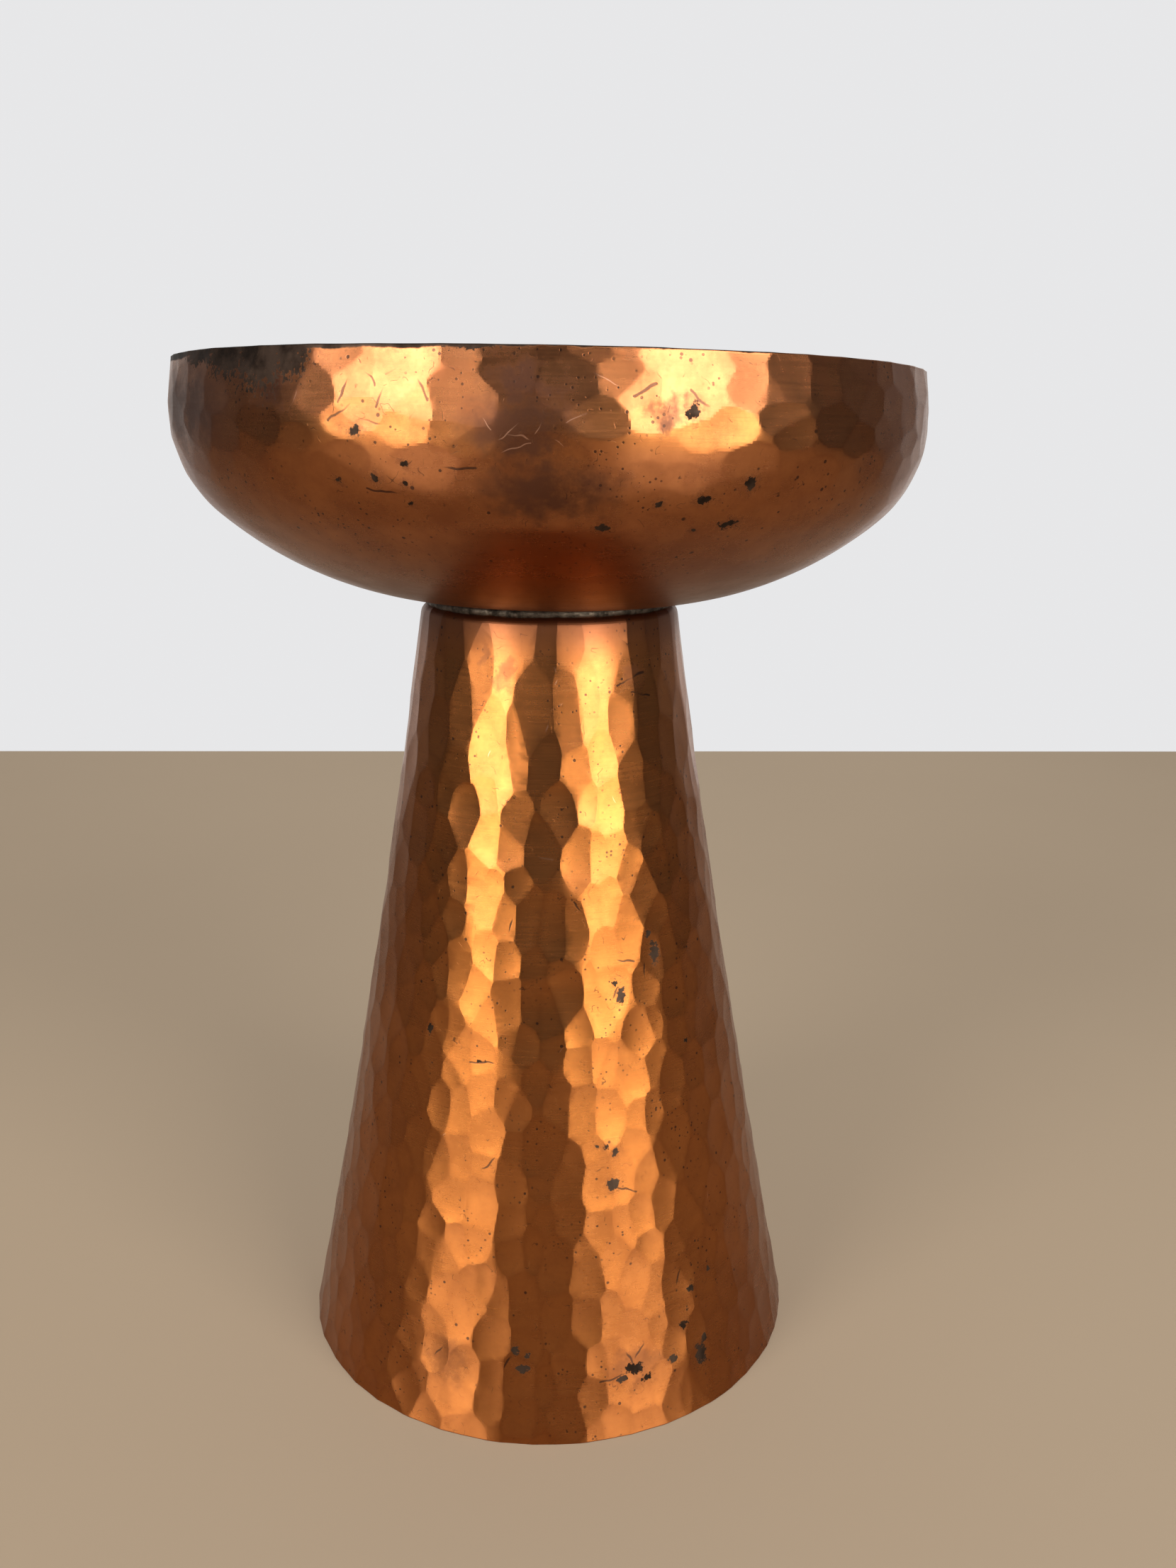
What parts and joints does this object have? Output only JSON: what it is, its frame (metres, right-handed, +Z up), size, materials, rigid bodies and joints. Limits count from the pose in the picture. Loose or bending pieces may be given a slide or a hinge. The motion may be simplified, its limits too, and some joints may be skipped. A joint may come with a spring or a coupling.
{
  "type": "footed bowl",
  "caption": "Shallow hammered copper bowl on a tall hollow conical foot, soldered together, for serving, display or burning.",
  "frame": {"origin": "middle of the foot's open base, on the surface that it stands on", "axes": "+Z up along the axis that every piece is turned about, +Y away from the viewer, +X to the viewer's right"},
  "size_m": [0.15, 0.15, 0.2116],
  "materials": {
    "bowl_copper": "planished copper, lightly tarnished, with oxide stains at the rim",
    "foot_copper": "planished copper, lightly tarnished, with dark specks and blotches",
    "solder": "dull grey lumpy soft solder"
  },
  "bodies": {
    "root": {"bowl": "bowl_copper", "conical_foot": "foot_copper", "solder_joint": "solder"}
  },
  "joints": []
}
